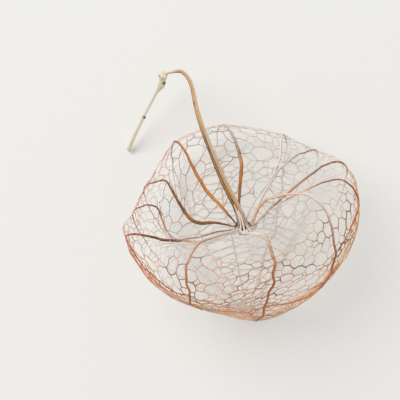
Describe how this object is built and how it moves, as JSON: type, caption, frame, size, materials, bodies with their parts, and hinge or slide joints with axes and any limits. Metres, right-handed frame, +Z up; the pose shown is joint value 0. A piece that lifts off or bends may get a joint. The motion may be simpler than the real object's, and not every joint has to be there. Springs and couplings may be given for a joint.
{
  "type": "physalis lantern husk",
  "caption": "Empty, weathered physalis lantern worn down to its ribs and a lace of veins, lying on its side with its bent stalk and a length of old stem.",
  "frame": {"origin": "Middle of the bounding box in plan, on the surface that the husk lies on.", "axes": "+Z up from the surface; +Y from the husk's tip towards the bend of the stalk, the longest way across; +X to the right with the stalk's cut end on the left."},
  "size_m": [0.05, 0.0538, 0.0392],
  "materials": {
    "dry_vein": "matte",
    "dry_stalk": "matte"
  },
  "bodies": {
    "root": {"husk": "dry_vein", "stalk": "dry_stalk"}
  },
  "joints": []
}
